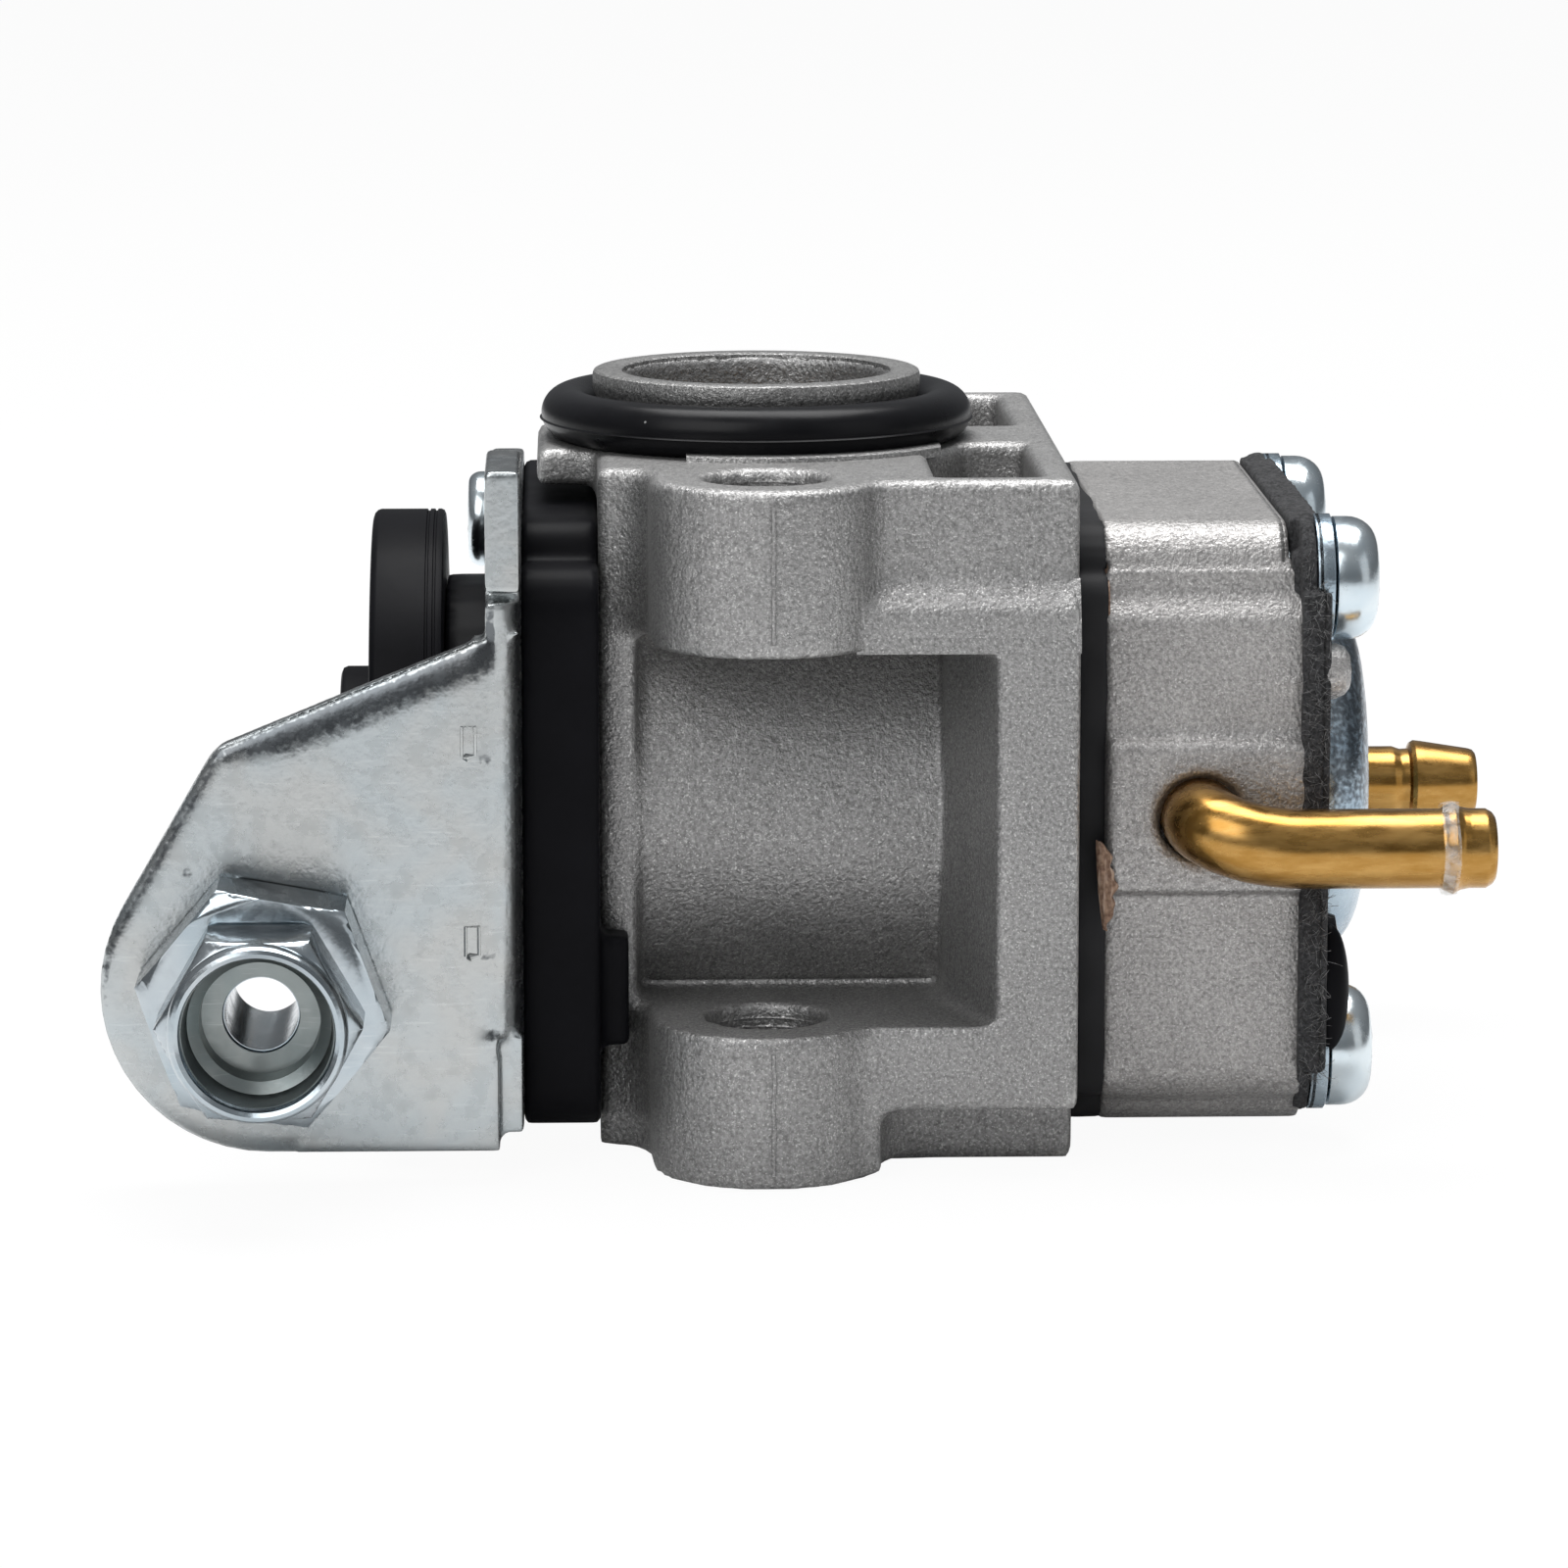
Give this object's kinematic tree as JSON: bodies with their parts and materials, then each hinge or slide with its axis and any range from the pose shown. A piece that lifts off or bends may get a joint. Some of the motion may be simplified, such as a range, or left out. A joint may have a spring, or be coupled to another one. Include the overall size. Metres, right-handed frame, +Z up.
{
  "type": "carburetor",
  "caption": "Small-engine rotary-barrel carburetor with a diaphragm fuel pump and metering chamber, sheet-steel cable bracket, threaded cable adjuster and brass fuel elbows.",
  "frame": {"origin": "bottom centre of the part's box, on the plane of the foot face", "axes": "+Z up along the intake bore, +X along the throttle barrel towards the fuel pump and metering side, -Y towards the side of the throttle cable"},
  "size_m": [0.0672, 0.0494, 0.035],
  "materials": {
    "cast_aluminium": "matte die cast, grainy",
    "zinc_plated_steel": "bright zinc plate with a pale blue tint",
    "steel": "plain spring and pin steel",
    "brass": "satin turned brass",
    "black_plastic": "matte moulded plastic",
    "black_rubber": "satin rubber",
    "gasket_felt": "fibrous gasket sheet",
    "diaphragm_film": "coated cloth, torn at one edge"
  },
  "bodies": {
    "body": {"cable_bracket": "zinc_plated_steel", "carburetor_body": "cast_aluminium", "cover_screw_far_top": "zinc_plated_steel", "cover_screw_near_bottom": "zinc_plated_steel", "fuel_inlet_elbow": "brass", "fuel_return_elbow": "brass", "idle_screw_spring": "steel", "inlet_strainer": "steel", "lever_pin": "steel", "main_nozzle": "brass", "metering_cover": "zinc_plated_steel", "metering_diaphragm": "black_rubber", "metering_gasket": "gasket_felt", "metering_screw_far_bottom": "zinc_plated_steel", "metering_screw_far_top": "zinc_plated_steel", "metering_screw_near_bottom": "zinc_plated_steel", "metering_screw_near_top": "zinc_plated_steel", "metering_spring": "steel", "needle_seat": "brass", "nozzle_seal": "black_rubber", "pin_screw": "steel", "pump_casting": "cast_aluminium", "pump_diaphragm": "diaphragm_film", "pump_gasket": "black_rubber", "return_spring": "steel", "spigot_o_ring": "black_rubber", "stem_seal": "black_rubber", "throttle_cover": "black_plastic"},
    "barrel_lift": {"thrust_washer": "steel"},
    "throttle": {"throttle_barrel": "brass", "fuel_needle": "brass", "throttle_lever": "black_plastic"},
    "swivel": {"cable_swivel": "zinc_plated_steel"},
    "adjuster": {"cable_adjuster": "zinc_plated_steel"},
    "lock_nut": {"adjuster_lock_nut": "zinc_plated_steel"},
    "idle_screw": {"idle_speed_screw": "brass"},
    "diaphragm_centre": {"diaphragm_button": "steel"},
    "metering_lever": {"metering_lever": "steel"},
    "inlet_needle": {"inlet_needle": "steel"}
  },
  "joints": [
    {"name": "barrel_lift", "type": "slide", "parent": "body", "child": "barrel_lift", "axis": [-1, 0, 0], "range_m": [0, 0.0016], "deforming": ["return_spring"]},
    {"name": "throttle_turn", "type": "hinge", "parent": "barrel_lift", "child": "throttle", "pos_m": [-0.00335, 0.00385, 0.0155], "axis": [-1, 0, 0], "range_deg": [0, 75], "stiffness_Nm_per_rad": 0.01, "springref_deg": -22.92},
    {"name": "swivel_turn", "type": "hinge", "parent": "throttle", "child": "swivel", "pos_m": [-0.00335, 0.00921, 0.00852], "axis": [1, 0, 0], "range_deg": [-90, 90]},
    {"name": "adjuster_turn", "type": "hinge", "parent": "body", "child": "adjuster", "pos_m": [-0.02605, -0.01615, 0.009], "axis": [0, 1, 0], "continuous": true},
    {"name": "lock_nut_turn", "type": "hinge", "parent": "body", "child": "lock_nut", "pos_m": [-0.02605, -0.01615, 0.009], "axis": [0, 1, 0], "continuous": true},
    {"name": "idle_screw_turn", "type": "hinge", "parent": "body", "child": "idle_screw", "pos_m": [-0.01985, -0.00915, 0.0095], "axis": [0, 0, 1], "continuous": true},
    {"name": "diaphragm_stroke", "type": "slide", "parent": "body", "child": "diaphragm_centre", "axis": [-1, 0, 0], "range_m": [0, 0.0005], "stiffness_N_per_m": 100},
    {"name": "metering_lever_tilt", "type": "hinge", "parent": "body", "child": "metering_lever", "pos_m": [0.01835, 0.00385, 0.0183], "axis": [0, 1, 0], "range_deg": [0, 10.5], "deforming": ["metering_spring"]},
    {"name": "inlet_needle_lift", "type": "slide", "parent": "body", "child": "inlet_needle", "axis": [1, 0, 0], "range_m": [0, 0.0004]}
  ],
  "couplings": [
    {"joint": "throttle_turn", "follows": "barrel_lift", "rad_per_m": 818},
    {"joint": "metering_lever_tilt", "follows": "diaphragm_stroke", "rad_per_m": 357.14},
    {"joint": "inlet_needle_lift", "follows": "diaphragm_stroke", "ratio": 0.7}
  ]
}
